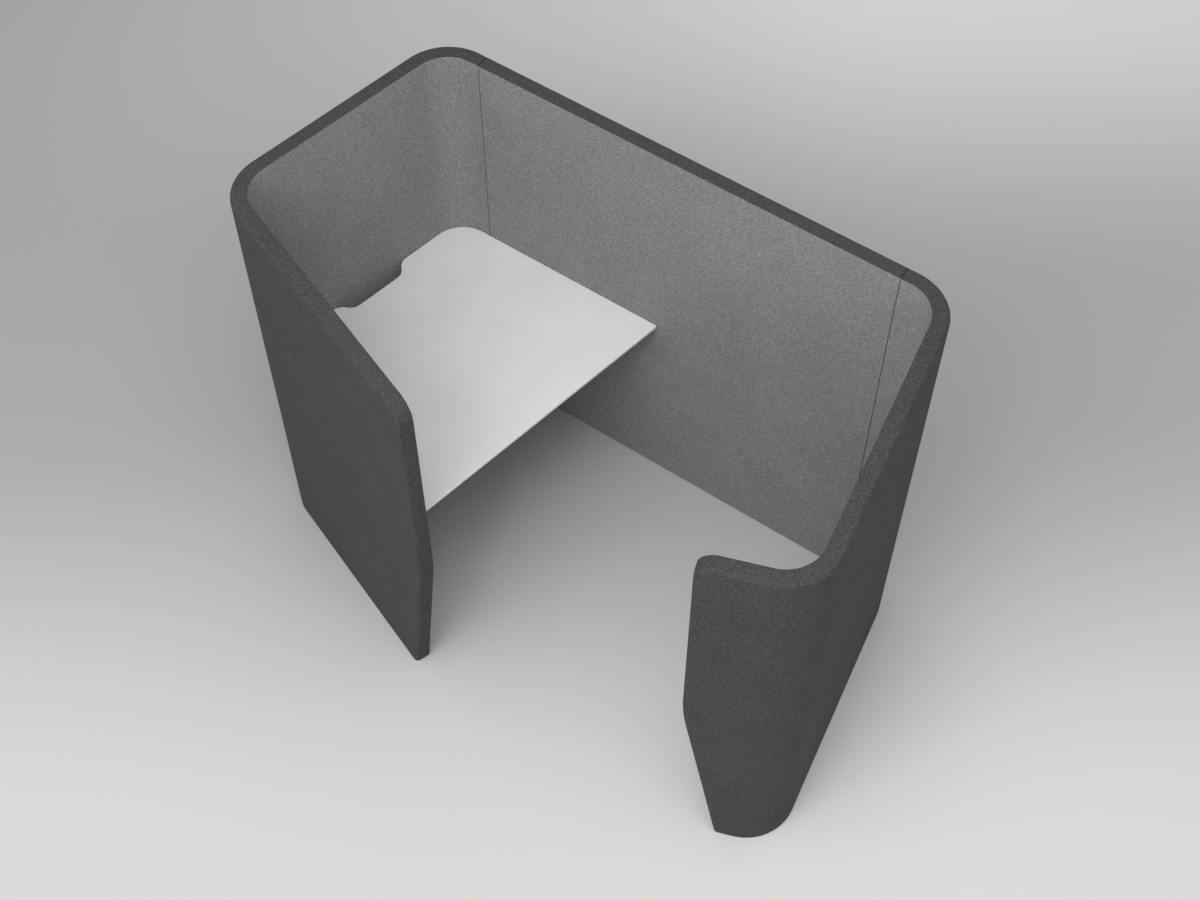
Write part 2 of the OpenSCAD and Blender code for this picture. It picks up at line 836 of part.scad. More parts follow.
module foot_insert() {
    translate([0, core_mid, 0]) difference() {
        union() {
            translate([0, 0, foot_h]) cylinder(foot_flange_t, r = foot_flange_r);
            translate([0, 0, foot_h]) cylinder(foot_flange_t + foot_insert_l, r = foot_insert_r);
        }
        cylinder(floor_gap + foot_insert_l + overrun, r = stem_r + thread_gap);
    }
}

module foot_inserts() {
    color(steel_tone) {
        at_side_feet("left") foot_insert();
        at_side_feet("right") foot_insert();
        back_frame("left") foot_insert();
    }
}

placed() top_rail("left");  // left_top_rail
placed() mid_rail("left");  // left_mid_rail
placed() bottom_rail("left");  // left_bottom_rail
placed() studs("left");  // left_studs
placed() end_post("left");  // left_end_post
placed() outer_skin("left");  // left_outer_skin
placed() inner_skin("left");  // left_inner_skin
placed() infill("left");  // left_infill
placed() outer_foam("left");  // left_outer_foam
placed() inner_foam("left");  // left_inner_foam
placed() outer_cover("left");  // left_outer_cover
placed() inner_cover("left");  // left_inner_cover
placed() back_top_rail();
placed() back_mid_rail();
placed() back_bottom_rail();
placed() back_studs();
placed() back_outer_skin();
placed() back_inner_skin();
placed() back_infill();
placed() back_outer_foam();
placed() back_inner_foam();
placed() back_outer_cover();
placed() back_inner_cover();
placed() top_rail("right");  // right_top_rail
placed() mid_rail("right");  // right_mid_rail
placed() bottom_rail("right");  // right_bottom_rail
placed() studs("right");  // right_studs
placed() end_post("right");  // right_end_post
placed() outer_skin("right");  // right_outer_skin
placed() inner_skin("right");  // right_inner_skin
placed() infill("right");  // right_infill
placed() outer_foam("right");  // right_outer_foam
placed() inner_foam("right");  // right_inner_foam
placed() outer_cover("right");  // right_outer_cover
placed() inner_cover("right");  // right_inner_cover
placed() seam_bolts();
placed() seam_nuts();
placed() seam_washers();
placed() seam_dowels();
placed() desk_top();
placed() desk_back_angle();
placed() desk_front_angle();
placed() desk_bracket_back();
placed() desk_bracket_front();
placed() desk_beam();
placed() desk_screws();
placed() angle_bolts();
placed() angle_inserts();
placed() foot_inserts();
placed() at_front_foot("left") foot();  // foot_left_front
placed() at_front_corner("left") foot();  // foot_left_front_corner
placed() at_end_foot("left") foot();  // foot_left_end
placed() at_back_corner("left") foot();  // foot_left_back_corner
placed() back_frame("left") foot();  // foot_back
placed() at_back_corner("right") foot();  // foot_right_back_corner
placed() at_end_foot("right") foot();  // foot_right_end
placed() at_front_corner("right") foot();  // foot_right_front_corner
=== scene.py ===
import bpy
import numpy as np
from mathutils import Matrix, Vector


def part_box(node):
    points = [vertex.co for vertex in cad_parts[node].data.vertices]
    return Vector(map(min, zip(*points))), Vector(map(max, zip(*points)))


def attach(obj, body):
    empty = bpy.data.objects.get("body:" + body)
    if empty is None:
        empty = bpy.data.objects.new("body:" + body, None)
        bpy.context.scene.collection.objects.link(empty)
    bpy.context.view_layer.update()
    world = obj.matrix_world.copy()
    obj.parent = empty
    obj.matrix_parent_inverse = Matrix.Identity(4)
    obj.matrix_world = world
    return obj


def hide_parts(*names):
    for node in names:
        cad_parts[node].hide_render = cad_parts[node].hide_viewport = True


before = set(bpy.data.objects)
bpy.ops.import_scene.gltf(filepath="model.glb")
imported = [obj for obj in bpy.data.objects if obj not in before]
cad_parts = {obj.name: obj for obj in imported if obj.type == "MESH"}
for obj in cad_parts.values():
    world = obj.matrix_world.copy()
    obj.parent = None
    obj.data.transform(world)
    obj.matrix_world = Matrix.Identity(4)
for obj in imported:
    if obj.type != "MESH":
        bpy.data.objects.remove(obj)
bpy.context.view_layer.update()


# Frame and skins: birch plywood strips and sheets, sawn, glued and screwed into one stiff
# panel for each segment of the wall. They are covered all over, and only their sawn lower
# edges can be seen, from under the wall.
def linear(level):
    """Linear strength of a display level from 0 to 255, by the usual display curve."""
    return ((level / 255 + 0.055) / 1.055) ** 2.4


def start_finish(name, levels, roughness):
    """A node material with one shader, and the piece's own coordinates in metres."""
    made = bpy.data.materials.new(name)
    made.use_nodes = True
    tree = made.node_tree
    shader = tree.nodes["Principled BSDF"]
    colour = [linear(level) for level in levels] + [1]
    made.diffuse_color = colour
    shader.inputs["Base Color"].default_value = colour
    shader.inputs["Roughness"].default_value = roughness
    place = tree.nodes.new("ShaderNodeTexCoord").outputs["Object"]
    return made, tree, shader, place


def noise(tree, place, scale, detail, roughness=0.5, distortion=0.0):
    """Outputs of a noise of a scale per metre."""
    made = tree.nodes.new("ShaderNodeTexNoise")
    made.inputs["Scale"].default_value = scale
    made.inputs["Detail"].default_value = detail
    made.inputs["Roughness"].default_value = roughness
    made.inputs["Distortion"].default_value = distortion
    tree.links.new(place, made.inputs["Vector"])
    return made.outputs


def remapped(tree, place, rotation, scale=(1, 1, 1), kind="POINT"):
    """Coordinates scaled and turned."""
    mapping = tree.nodes.new("ShaderNodeMapping")
    mapping.vector_type = kind
    mapping.inputs["Rotation"].default_value = rotation
    mapping.inputs["Scale"].default_value = scale
    tree.links.new(place, mapping.inputs["Vector"])
    return mapping.outputs["Vector"]


def grain(tree, place, scale, detail=2.0, roughness=0.55, stretch=(1, 1, 1), distortion=0.0):
    """Noise of a scale per metre, stretched along the axes with the smaller factors, then
    turned askew, because noise is fainter in a plane that lies along its own lattice."""
    askew = remapped(tree, place, (0.5, 0.3, 0.7), stretch)
    return noise(tree, askew, scale, detail, roughness, distortion)["Fac"]


def weighed(tree, *parts):
    """Sum of outputs, each times its share."""
    total = None
    for output, share in parts:
        step = tree.nodes.new("ShaderNodeMath")
        step.operation = "MULTIPLY_ADD"
        tree.links.new(output, step.inputs[0])
        step.inputs[1].default_value = share
        step.inputs[2].default_value = 0.0
        if total is not None:
            tree.links.new(total, step.inputs[2])
        total = step.outputs[0]
    return total


def tinted(tree, value, low, high, start=0.35, end=0.65):
    """Colour that runs from low to high levels while the value runs from start to end."""
    ramp = tree.nodes.new("ShaderNodeValToRGB")
    for stop, position, levels in zip(ramp.color_ramp.elements, (start, end), (low, high)):
        stop.position = position
        stop.color = [linear(level) for level in levels] + [1]
    tree.links.new(value, ramp.inputs["Fac"])
    return ramp.outputs["Color"]


def coloured(tree, shader, value, low, high, start=0.35, end=0.65):
    """Gives a shader the colour that runs from low to high levels."""
    tree.links.new(tinted(tree, value, low, high, start, end), shader.inputs["Base Color"])


def raised(tree, shader, height, depth, strength=1.0):
    """Relief from a height, at most depth metres deep."""
    bump = tree.nodes.new("ShaderNodeBump")
    bump.inputs["Strength"].default_value = strength
    bump.inputs["Distance"].default_value = depth
    tree.links.new(height, bump.inputs["Height"])
    tree.links.new(bump.outputs["Normal"], shader.inputs["Normal"])


def plywood(name, light, dark, stretch):
    """Birch: long fine grain, broad pale figure, and open grain in the surface."""
    made, tree, shader, place = start_finish(name, light, 0.62)
    fine = grain(tree, place, 60, 4, 0.65, stretch, 0.4)
    broad = grain(tree, place, 7, 2, 0.5, stretch, 0.8)
    figure = weighed(tree, (fine, 0.6), (broad, 0.4))
    coloured(tree, shader, figure, dark, light, 0.36, 0.6)
    raised(tree, shader, fine, 0.0003, 0.5)
    return made


def finish_nodes(made, *names):
    """Gives CAD nodes, whose shapes stay, their finished material."""
    for name in names:
        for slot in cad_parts[name].material_slots:
            slot.material = made


lying_birch = plywood("birch_along", (214, 189, 148), (176, 142, 98), (0.5, 0.5, 6))
standing_birch = plywood("birch_upright", (216, 192, 152), (180, 147, 103), (6, 6, 0.5))
skin_birch = plywood("birch_sheet", (208, 181, 138), (170, 136, 94), (5, 5, 0.4))
for part in ("left", "back", "right"):
    finish_nodes(lying_birch, part + "_top_rail", part + "_mid_rail", part + "_bottom_rail")
    finish_nodes(standing_birch, part + "_studs")
    finish_nodes(skin_birch, part + "_outer_skin", part + "_inner_skin")
finish_nodes(standing_birch, "left_end_post", "right_end_post")


# Infill: pads of sheep's wool felt cut to each bay between the studs, a little plump, with
# soft rounded rims. They fill the hollow of the wall and are sealed in by the skins.
back_length, corner_radius, turn = 1.695, 0.156, 80.0
end_length = {"left": 0.837, "right": 0.996}
front_length = {"left": 0.940, "right": 0.313}
tangent = corner_radius * np.tan(np.radians(turn / 2))
seam_offset, seam_half, glue = 0.030, 0.0002, 0.0002
seam_at = back_length / 2 - tangent - seam_offset
wall_height, wall_depth, floor_gap = 1.450, 0.0476, 0.005
plan_middle = np.array([0.013805, -0.571201])


def heading(degrees):
    """Unit vector at an angle in plan."""
    angle = np.radians(degrees)
    return np.stack([np.cos(angle), np.sin(angle)], -1)


def run_length(side):
    """Run of a side segment's outer face from its seam to its front wall's corner point."""
    bends = 2 * np.radians(turn) * corner_radius
    return seam_offset - seam_half + end_length[side] + bends - 3 * tangent


def run_stops(side):
    """Runs at which a side segment's first bend starts and ends, and its second one does."""
    bend = np.radians(turn) * corner_radius
    return np.cumsum([seam_offset - seam_half, bend, end_length[side] - 2 * tangent, bend])


def wall_points(side, run, depth, height):
    """Points at a run along a segment's outer face, a depth under it and a height.
    The outer face is straight, or an arc about a corner's centre, and the depth is
    measured along its inward normal, so arcs stay concentric."""
    run, depth, height = np.broadcast_arrays(run, depth, height)
    if side == "back":
        plan = np.stack([run, np.zeros_like(run)], -1)
        inward = np.broadcast_to(np.array([0.0, -1.0]), plan.shape)
    else:
        ends = run_stops(side)
        first = np.array([tangent - back_length / 2, -corner_radius])
        second = first + (end_length[side] - 2 * tangent) * heading(180 + turn)
        angle_1 = 90 + np.degrees((run - ends[0]) / corner_radius)
        angle_2 = 90 + turn + np.degrees((run - ends[2]) / corner_radius)
        places = [
            np.stack([-seam_at - seam_half - run, np.zeros_like(run)], -1),
            first + corner_radius * heading(angle_1),
            first + corner_radius * heading(90 + turn)
            + (run - ends[1])[..., None] * heading(180 + turn),
            second + corner_radius * heading(angle_2),
            second + corner_radius * heading(90 + 2 * turn)
            + (run - ends[3])[..., None] * heading(180 + 2 * turn),
        ]
        flat = np.ones_like(run)
        angles = [270 * flat, angle_1 + 180, (270 + turn) * flat, angle_2 + 180,
                  (270 + 2 * turn) * flat]
        which = np.searchsorted(ends, run)
        chosen = [(which == k)[..., None] for k in range(5)]
        plan = np.select(chosen, places)
        inward = np.select(chosen, [heading(a) for a in angles])
    plan = plan + depth[..., None] * inward
    if side == "right":
        plan = plan * [-1, 1]
    plan = plan - plan_middle
    return np.concatenate([plan, height[..., None]], -1)


end_top_radius, kink_height, lean, kink_radius = 0.055, 0.703, np.radians(10), 0.800
kink_centre_height = kink_height + kink_radius * np.tan(lean / 2)


def end_reach(side, inset, height):
    """How far along its front wall a free end reaches at a height, set in from its outline:
    round the top corner, straight down, round the soft kink, and back along the lean."""
    width = front_length[side]
    top = wall_height - end_top_radius
    bend = kink_centre_height - (kink_radius - inset) * np.sin(lean)
    at_bend = width - kink_radius + (kink_radius - inset) * np.cos(lean)
    over = np.sqrt(np.maximum((end_top_radius - inset) ** 2 - (height - top) ** 2, 0))
    below_kink = (height - kink_centre_height) ** 2
    under = np.sqrt(np.maximum((kink_radius - inset) ** 2 - below_kink, 0))
    return np.select(
        [height > top, height > kink_centre_height, height > bend],
        [width - end_top_radius + over, width - inset, width - kink_radius + under],
        at_bend - (bend - height) * np.tan(lean),
    )


def shown(name, data):
    """An object of the scene for a mesh, a lamp or a camera."""
    made = bpy.data.objects.new(name, data)
    bpy.context.scene.collection.objects.link(made)
    return made


def mesh_piece(name, points, faces, finishes, creases, kinds=None, flipped=False):
    """A mesh piece, smooth but for creases over an angle. kinds gives each face's place in
    the list of finishes."""
    mesh = bpy.data.meshes.new(name)
    mesh.from_pydata(points.tolist(), [], faces)
    if flipped:
        mesh.flip_normals()
    for made in finishes:
        mesh.materials.append(made)
    if kinds is not None:
        mesh.polygons.foreach_set("material_index", np.array(kinds, np.int32))
    mesh.polygons.foreach_set("use_smooth", np.ones(len(faces), bool))
    mesh.set_sharp_from_angle(angle=np.radians(creases))
    mesh.update()
    return shown(name, mesh)


def shell(name, near, far, made):
    """A closed skin between two grids of points: both faces, and a rim that joins them,
    turned so that its volume is positive, which makes its faces point outward."""
    rows, columns = near.shape[:2]
    points = np.concatenate([near.reshape(-1, 3), far.reshape(-1, 3)])
    k = np.arange(rows * columns).reshape(rows, columns)
    face = np.stack([k[:-1, :-1], k[1:, :-1], k[1:, 1:], k[:-1, 1:]], -1).reshape(-1, 4)
    ring = np.concatenate([k[:, 0], k[-1, 1:], k[-2::-1, -1], k[0, -2:0:-1]])
    after = np.roll(ring, -1)
    rim = np.stack([after, ring, ring + k.size, after + k.size], -1)
    faces = np.concatenate([face, face[:, ::-1] + k.size, rim])
    a, b, c, d = (points[faces[:, i]] for i in range(4))
    volume = np.sum(a * np.cross(b, c)) + np.sum(a * np.cross(c, d))
    if volume < 0:
        faces = faces[:, ::-1]
    piece = mesh_piece(name, points, faces.tolist(), [made], 35)
    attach(piece, "pod")
    return piece


def joined(name, shells):
    """Closed skins of one piece, put together in one mesh."""
    kept = shells[0]
    with bpy.context.temp_override(active_object=kept, selected_editable_objects=shells):
        bpy.ops.object.join()
    kept.name = name
    kept.data.name = name
    return kept


def wool(name):
    """Pressed wool: curly fibres in loose tufts, cream with darker strands."""
    made, tree, shader, place = start_finish(name, (196, 188, 166), 0.95)
    tuft = grain(tree, place, 90, 3, 0.6, (1, 1, 1), 1.2)
    strand = grain(tree, place, 520, 2, 0.7, (1, 1, 1), 2.0)
    body = weighed(tree, (tuft, 0.5), (strand, 0.5))
    coloured(tree, shader, body, (150, 140, 116), (222, 214, 194))
    raised(tree, shader, body, 0.002, 0.8)
    return made


def bay_pad(name, side, start, end, bottom, top):
    """One pad: a grid over its face, whose thickness rises from its rim as a quarter circle.
    end is a run, or a function of height that gives one."""
    across = np.linspace(0, 1, 25)
    up = np.linspace(0, 1, 31)
    share_x = 0.5 - 0.5 * np.cos(np.pi * across)
    share_z = 0.5 - 0.5 * np.cos(np.pi * up)
    heights = bottom + share_z * (top - bottom)
    last = end(heights) if callable(end) else np.full_like(heights, end)
    runs = start + share_x[None, :] * (last - start)[:, None]
    high = np.broadcast_to(heights[:, None], runs.shape)
    nearest = np.minimum(
        np.minimum(runs - start, last[:, None] - runs),
        np.minimum(high - bottom, top - high),
    )
    rim_width, rim_half, plumpness = 0.005, 0.0045, 0.0043
    rounded = np.sqrt(1 - (1 - np.clip(nearest / rim_width, 0, 1)) ** 2)
    half = rim_half + plumpness * rounded
    near = wall_points(side, runs, wall_depth / 2 - half, high)
    far = wall_points(side, runs, wall_depth / 2 + half, high)
    return shell(name, near, far, wool_cream)


def stud_runs(side):
    """Middles of a segment's studs, as runs: one at each end of a wall, the rest evenly."""
    if side == "back":
        edge = seam_at - seam_half - stud_half
        count = max(1, round(2 * edge / stud_pitch))
        return np.linspace(-edge, edge, count + 1)
    stops = run_stops(side)
    low, high = stops[1] + stud_half, stops[2] - stud_half
    walls = np.linspace(low, high, max(1, round((high - low) / stud_pitch)) + 1)
    low = stops[3] + stud_half
    high = stops[3] + end_reach(side, post_inset, np.array(floor_gap)) - tangent
    count = max(0, round((high - low) / stud_pitch))
    front = low + (high - low) * np.arange(count) / max(count, 1)
    return np.concatenate([[stud_half], walls, front])


wool_cream = wool("wool_cream")
# A known fault, out of sight: these bays take the middle rail to be 18 mm lower than it is
lower_bay = (0.0412, 0.6618)
upper_bay = (0.6982, 1.4032)
bay_gap = 0.001
stud_half, stud_pitch = 0.014, 0.350
post_inset, pad_inset = 0.0406, 0.0412
for part in ("left", "back", "right"):
    middles = stud_runs(part)
    clear = stud_half + glue
    bays = [(one + clear, two - clear) for one, two in zip(middles[:-1], middles[1:])]
    if part != "back":
        bays.append((middles[-1] + clear,
                     lambda z, side=part: run_length(side) + end_reach(side, pad_inset, z)))
    pads = [bay_pad(f"pad_{part}_{level}_{bay}", part, start, end, low + bay_gap, high - bay_gap)
            for level, (low, high) in enumerate((lower_bay, upper_bay))
            for bay, (start, end) in enumerate(bays)]
    infill = joined(part + "_wool_infill", pads)
    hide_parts(part + "_infill")


# Foam: two layers of firm open-cell foam, glued on the skins. The outer one is bent over the
# top of the frame and round the free ends, which gives the wall its soft outer edge.
edge_radius, felt_depth, foam_depth = 0.012, 0.0022, 0.008
foam_start = felt_depth + glue
skin_start = foam_start + foam_depth + glue
roll_radius = 0.002


def edge_profile(inset, inner_roll, crown):
    """Half section of the padded edge, from the inner face over the top to the outer face,
    as depth from the edge and depth from the outer face, with its unit inward normals."""
    roll = inner_roll * (1 - np.cos(np.linspace(0, np.pi / 2, 5)))[:-1]
    fall = inner_roll * (1 - np.sin(np.linspace(0, np.pi / 2, 5)))[:-1]
    inner = np.stack([inset + fall, wall_depth - inset * (inset > 0) - roll], -1)
    radius = edge_radius - inset
    band = np.linspace(wall_depth - inset - inner_roll, inset + radius, 12)
    share = (band - band[0]) / (band[-1] - band[0])
    flat = np.stack([inset - crown * np.sin(np.pi * share) ** 2, band], -1)
    angle = np.linspace(0, np.pi / 2, 13)[1:]
    curve = inset + radius * (1 - np.stack([np.cos(angle), np.sin(angle)], -1))
    points = np.concatenate([inner, flat, curve] if inner_roll > 0 else [flat, curve])
    along = np.gradient(points, axis=0)
    along[-1] = [1, 0]
    along /= np.linalg.norm(along, axis=1)[:, None]
    inward = np.stack([-along[:, 1], along[:, 0]], -1)
    if inner_roll > 0:
        inward[0] = [0, -1]
    return points, inward


def seam_roll(side, runs):
    """How far a cover turns in beside a seam: a quarter circle, flat past its radius."""
    distance = seam_at - seam_half - np.abs(runs) if side == "back" else np.abs(runs)
    inside = np.maximum(roll_radius - distance, 0)
    return roll_radius - np.sqrt(np.maximum(roll_radius ** 2 - inside ** 2, 0))


def run_stations(side):
    """Runs of a segment's rows, from its seam to the corner of its free end, close together at
    the seams and in the bends."""
    seam = np.array([0, 0.0001, 0.0003, 0.0007, 0.0012, 0.002])
    past, spacing = 0.004, 0.03
    if side == "back":
        half = seam_at - seam_half
        middle = np.linspace(-half + past, half - past, 60)
        return np.concatenate([-half + seam, middle, half - seam[::-1]])
    stops = run_stops(side)
    wall_end = run_length(side) + front_length[side] - end_top_radius
    return np.concatenate([
        seam,
        np.linspace(past, stops[0], 4),
        np.linspace(stops[0], stops[1], 33)[1:],
        np.linspace(stops[1], stops[2], 22)[1:],
        np.linspace(stops[2], stops[3], 33)[1:],
        np.linspace(stops[3], wall_end, max(4, int((wall_end - stops[3]) / spacing)))[1:],
    ])


def padded_grid(side, profile, extra, floor=floor_gap, down=18):
    """Grid of points of a layer that wraps the top edge and the free end: each row crosses the
    edge along the profile, set in by extra and by the seam's roll, then goes down the outer
    face to the foot. Rows go along the top, round the end's corner and down its side."""
    points, inward = profile
    runs = run_stations(side)
    inset = extra + seam_roll(side, runs)[:, None]
    e = points[None, :, 0] + inset * inward[None, :, 0]
    o = points[None, :, 1] + inset * inward[None, :, 1]
    row_run = np.broadcast_to(runs[:, None], e.shape)
    row_z = wall_height - e
    if side != "back":
        width, corner = front_length[side], run_length(side)
        e_end = points[None, :, 0] + extra * inward[None, :, 0]
        o_end = points[None, :, 1] + extra * inward[None, :, 1]
        top = wall_height - end_top_radius
        turned = np.radians(np.linspace(0, 90, 19))[1:, None]
        blocks = [(width - end_top_radius + (end_top_radius - e_end) * np.sin(turned),
                   top + (end_top_radius - e_end) * np.cos(turned))]
        side_z = np.linspace(top, kink_centre_height, 16)[1:, None]
        blocks.append((width - e_end + 0 * side_z, side_z + 0 * e_end))
        bent = np.linspace(0, lean, 9)[1:, None]
        blocks.append((width - kink_radius + (kink_radius - e_end) * np.cos(bent),
                       kink_centre_height - (kink_radius - e_end) * np.sin(bent)))
        bend_z = kink_centre_height - kink_radius * np.sin(lean)
        foot_z = np.linspace(bend_z, floor, 18)[1:, None]
        tilt = (foot_z - floor) / (bend_z - floor)
        z = foot_z + e_end * np.sin(lean) * tilt
        at_bend = width - kink_radius + (kink_radius - e_end) * np.cos(lean)
        bend_e = kink_centre_height - (kink_radius - e_end) * np.sin(lean)
        blocks.append((at_bend - (bend_e - z) * np.tan(lean), z))
        row_run = np.concatenate([row_run] + [corner + u for u, _ in blocks])
        row_z = np.concatenate([row_z] + [h for _, h in blocks])
        o = np.concatenate([o] + [np.broadcast_to(o_end, u.shape) for u, _ in blocks])
    start_run, start_z, flat = row_run[:, -1], row_z[:, -1], o[:, -1]
    foot_run = start_run.copy()
    if side != "back":
        first = int(np.searchsorted(runs, corner + tangent))
        steps = np.hypot(np.diff(start_run[first:]), np.diff(start_z[first:]))
        share = np.concatenate([[0], np.cumsum(steps)])
        foot_run[first:] = start_run[first] + (start_run[-1] - start_run[first]) * share / share[-1]
    t = np.linspace(0, 1, down + 1)[None, 1:]
    face_run = start_run[:, None] + (foot_run - start_run)[:, None] * t
    face_z = start_z[:, None] + (floor - start_z)[:, None] * t
    face_o = np.broadcast_to(flat[:, None], face_run.shape)
    if side != "back":
        sliver = 0.00002
        face_run[-1] = start_run[-1] - sliver * np.arange(1, down + 1)
        face_z[-1] = floor
    return wall_points(
        side,
        np.concatenate([row_run, face_run], 1),
        np.concatenate([o, face_o], 1),
        np.concatenate([row_z, face_z], 1),
    )


def panel_grid(side, depth, inset, low, high, into=1.0):
    """Grid of points of a flat layer of the inner face, from its foot to its top, whose last
    column follows the free end's outline. into is how far it rolls in beside the seams."""
    top = wall_height - end_top_radius
    kink_start, kink_end = kink_height - 0.05, kink_height + 0.08
    bends = top + (end_top_radius - inset) * np.sin(np.radians(np.linspace(0, 90, 15)))
    heights = np.concatenate([
        np.linspace(low, kink_start, 9),
        np.linspace(kink_start, kink_end, 9)[1:],
        np.linspace(kink_end, top, 8)[1:],
        bends[bends < high - 0.0001][1:],
        [high],
    ])
    runs = run_stations(side)
    roll = seam_roll(side, runs)
    grid_run = np.broadcast_to(runs[None, :], (len(heights), len(runs))).copy()
    if side != "back":
        corner = run_length(side)
        first = int(np.searchsorted(runs, corner + tangent))
        share = (runs[first:] - runs[first]) / (runs[-1] - runs[first])
        reach = corner + end_reach(side, inset, heights)
        grid_run[:, first:] = runs[first] + share[None, :] * (reach - runs[first])[:, None]
    return wall_points(side, grid_run, depth - into * roll[None, :], heights[:, None])


def open_foam(name):
    """Open-cell foam: a fine honeycomb of pores, cream, a little yellowed."""
    made, tree, shader, place = start_finish(name, (222, 214, 190), 0.92)
    cells = tree.nodes.new("ShaderNodeTexVoronoi")
    cells.inputs["Scale"].default_value = 900
    tree.links.new(place, cells.inputs["Vector"])
    age = grain(tree, place, 9, 2)
    body = weighed(tree, (cells.outputs["Distance"], 0.6), (age, 0.6))
    coloured(tree, shader, body, (186, 176, 148), (228, 221, 200), 0.25, 0.75)
    raised(tree, shader, cells.outputs["Distance"], 0.0008, 0.7)
    return made


foam_cream = open_foam("foam_cream")
foam_profile = edge_profile(foam_start, 0, 0)
for part in ("left", "back", "right"):
    outer_foam = shell(part + "_outer_pad", padded_grid(part, foam_profile, 0.0),
                       padded_grid(part, foam_profile, foam_depth), foam_cream)
    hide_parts(part + "_outer_foam")
    foam_face, foam_top = wall_depth - foam_start, wall_height - skin_start
    inner_foam = shell(
        part + "_inner_pad",
        panel_grid(part, foam_face, skin_start, floor_gap, foam_top, 0.5),
        panel_grid(part, foam_face - foam_depth, skin_start, floor_gap, foam_top, 0.0),
        foam_cream)
    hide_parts(part + "_inner_foam")


# Felt: needled wool felt, cut in one sheet a face for each segment, stretched over the foam
# and glued. The dark outer sheets also cover the top and the free ends, the lighter inner
# ones start under their edge. Beside the seams they turn in, which draws the fine lines,
# and painted shade darkens the felt's colour in the crease there.
def matted(tree, place, fineness):
    """Matted fibres: the highest of three noises, each drawn out ninefold along a direction
    of its own, over coordinates that a slower noise sways, so that the fibres curl."""
    sway = noise(tree, place, 0.06 * fineness, 1.0)["Color"]
    bent = tree.nodes.new("ShaderNodeVectorMath")
    bent.operation = "MULTIPLY_ADD"
    tree.links.new(sway, bent.inputs[0])
    bent.inputs[1].default_value = [12 / fineness] * 3
    tree.links.new(place, bent.inputs[2])
    highest = None
    for lie in ((0.3, 0.2, 0.0), (1.5, 0.4, 0.5), (0.4, 1.4, 1.2)):
        drawn_out = remapped(tree, bent.outputs["Vector"], lie, (1, 1, 9), "TEXTURE")
        strand = noise(tree, drawn_out, fineness, 1.0, 0.6)["Fac"]
        if highest is None:
            highest = strand
            continue
        over = tree.nodes.new("ShaderNodeMath")
        over.operation = "MAXIMUM"
        tree.links.new(highest, over.inputs[0])
        tree.links.new(strand, over.inputs[1])
        highest = over.outputs[0]
    return highest


def mixed(tree, colour, other, blend="MULTIPLY", share=None):
    """One colour darkened by another, or mixed with it by a share."""
    mix = tree.nodes.new("ShaderNodeMix")
    mix.data_type = "RGBA"
    mix.blend_type = blend
    mix.inputs[0].default_value = 1.0
    if share is not None:
        tree.links.new(share, mix.inputs[0])
    tree.links.new(colour, mix.inputs[6])
    tree.links.new(other, mix.inputs[7])
    return mix.outputs[2]


def felt(name, dark, light, fineness, stretch):
    """Needled felt: matted fibres of darker and lighter wool in grains of a few millimetres,
    faint broad clouds, and a nap that catches the light at a slant. Beside a seam its colour
    is darkened by painted shade, where its edge turns into the crease."""
    middle = [(a + b) / 2 for a, b in zip(dark, light)]
    made, tree, shader, place = start_finish(name, middle, 0.93)
    clump = grain(tree, place, fineness, 0, 0.5, stretch)
    fleck = grain(tree, place, 2.4 * fineness, 2, 0.6, stretch, 0.3)
    fibre = matted(tree, place, 2200)
    cloud = grain(tree, place, 5, 2, 0.5)
    body = weighed(tree, (clump, 0.37), (fleck, 0.18), (fibre, 0.45))
    mottled = tinted(tree, body, dark, light, 0.49, 0.66)
    shaded = tinted(tree, cloud, (248, 248, 249), (255, 255, 255), 0.35, 0.65)
    # painted shade: the felt's colour is darkened towards each seam, standing for the shade in the
    # crease
    crease_shade = tree.nodes.new("ShaderNodeAttribute")
    crease_shade.attribute_name = "seam_painted_shade"
    painted_seam_shade = tinted(tree, crease_shade.outputs["Fac"], (255, 255, 255), (165, 165, 166), 0.0, 1.0)
    mottled_with_seam_shade = mixed(tree, mixed(tree, mottled, shaded), painted_seam_shade)
    tree.links.new(mottled_with_seam_shade, shader.inputs["Base Color"])
    shader.inputs["Specular IOR Level"].default_value = 0.1
    shader.inputs["Sheen Weight"].default_value = 0.02
    shader.inputs["Sheen Roughness"].default_value = 0.6
    relief = weighed(tree, (clump, 0.25), (fleck, 0.25), (fibre, 0.6))
    raised(tree, shader, relief, 0.0008, 0.5)
    return made


def paint_seam_shade(piece):
    """Marks how much painted shade each point takes in a seam's crease, falling from 1 to 0
    over the roll's radius along the wall."""
    points = np.empty(3 * len(piece.data.vertices))
    piece.data.vertices.foreach_get("co", points)
    plan = points.reshape(-1, 3)[:, :2] + plan_middle
    away = np.abs(np.abs(plan[:, 0]) - seam_at)
    away[plan[:, 1] < -corner_radius] = 1.0
    # painted shade: 1 in the seam's crease, falling to 0 over the roll's radius
    crease_shade = np.clip(1 - (away - seam_half) / roll_radius, 0, 1)
    mark = piece.data.attributes.new("seam_painted_shade", "FLOAT", "POINT")
    mark.data.foreach_set("value", crease_shade.astype(np.float32))


